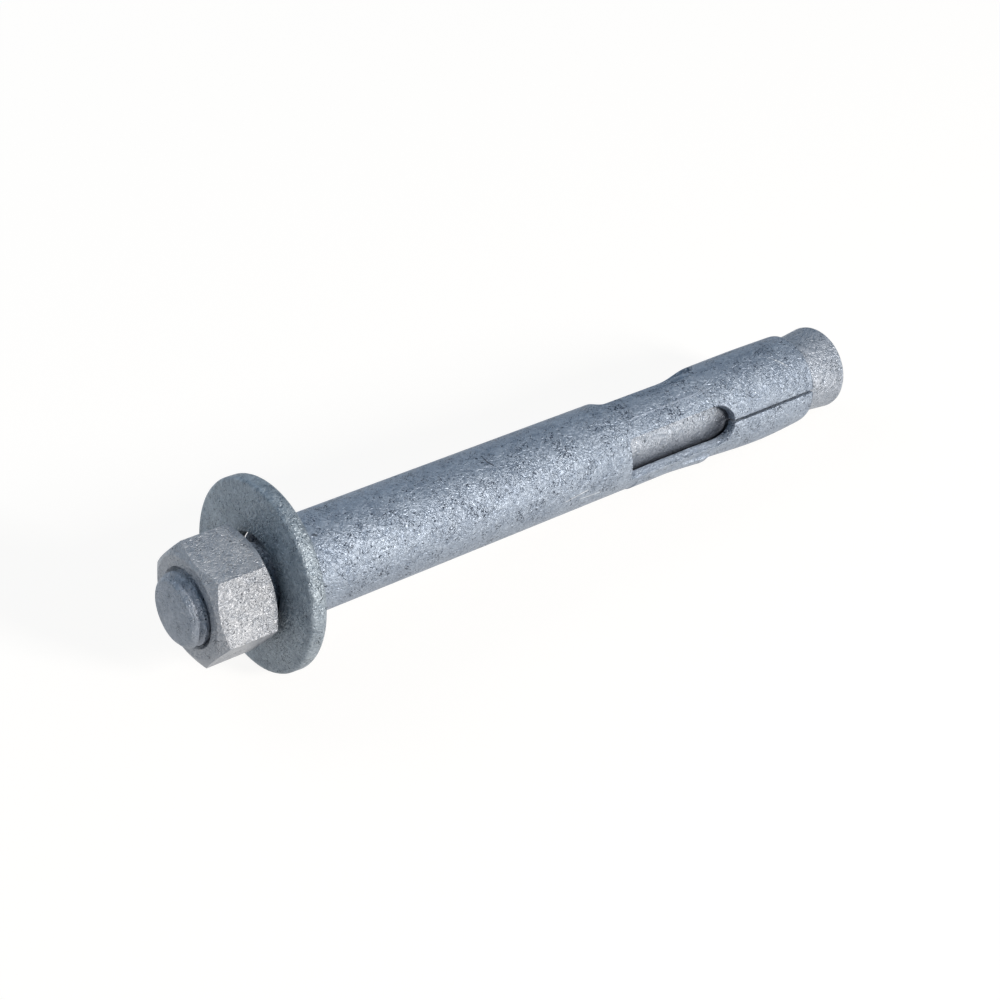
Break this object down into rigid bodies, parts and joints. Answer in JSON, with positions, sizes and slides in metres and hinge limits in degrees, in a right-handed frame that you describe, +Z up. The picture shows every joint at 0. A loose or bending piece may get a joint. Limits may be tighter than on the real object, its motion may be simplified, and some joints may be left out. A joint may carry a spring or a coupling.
{
  "type": "sleeve anchor",
  "caption": "Expansion anchor: threaded stud with an expander cone, slotted ribbed sleeve, loose washer and hexagon nut.",
  "frame": {"origin": "on the floor, under the middle of the bounding box of the anchor as it lies", "axes": "+X along the anchor from its nut to its cone, level; +Z up from the floor"},
  "size_m": [0.14, 0.0316, 0.0317],
  "materials": {
    "stud_zinc": "hot-dip galvanised, matt",
    "sleeve_zinc": "hot-dip galvanised, matt, scratched",
    "washer_zinc": "hot-dip galvanised, mottled",
    "nut_zinc": "hot-dip galvanised, grainy"
  },
  "bodies": {
    "sleeve": {"sleeve": "sleeve_zinc"},
    "stud": {"stud": "stud_zinc"},
    "nut": {"hex_nut": "nut_zinc"},
    "washer": {"washer": "washer_zinc"}
  },
  "joints": [
    {"name": "nut_turn", "type": "hinge", "parent": "sleeve", "child": "nut", "pos_m": [-0.0619, 0, 0.01542], "axis": [-0.9983, 0, 0.0586], "range_deg": [0, 2430]},
    {"name": "stud_slide", "type": "slide", "parent": "sleeve", "child": "stud", "axis": [0.9983, 0, -0.0586], "range_m": [0, 0.01181]},
    {"name": "washer_spin", "type": "hinge", "parent": "sleeve", "child": "washer", "pos_m": [-0.05386, 0, 0.01591], "axis": [0.9948, 0, -0.1021], "continuous": true}
  ],
  "couplings": [
    {"joint": "stud_slide", "follows": "nut_turn", "m_per_rad": 0.00027852}
  ]
}
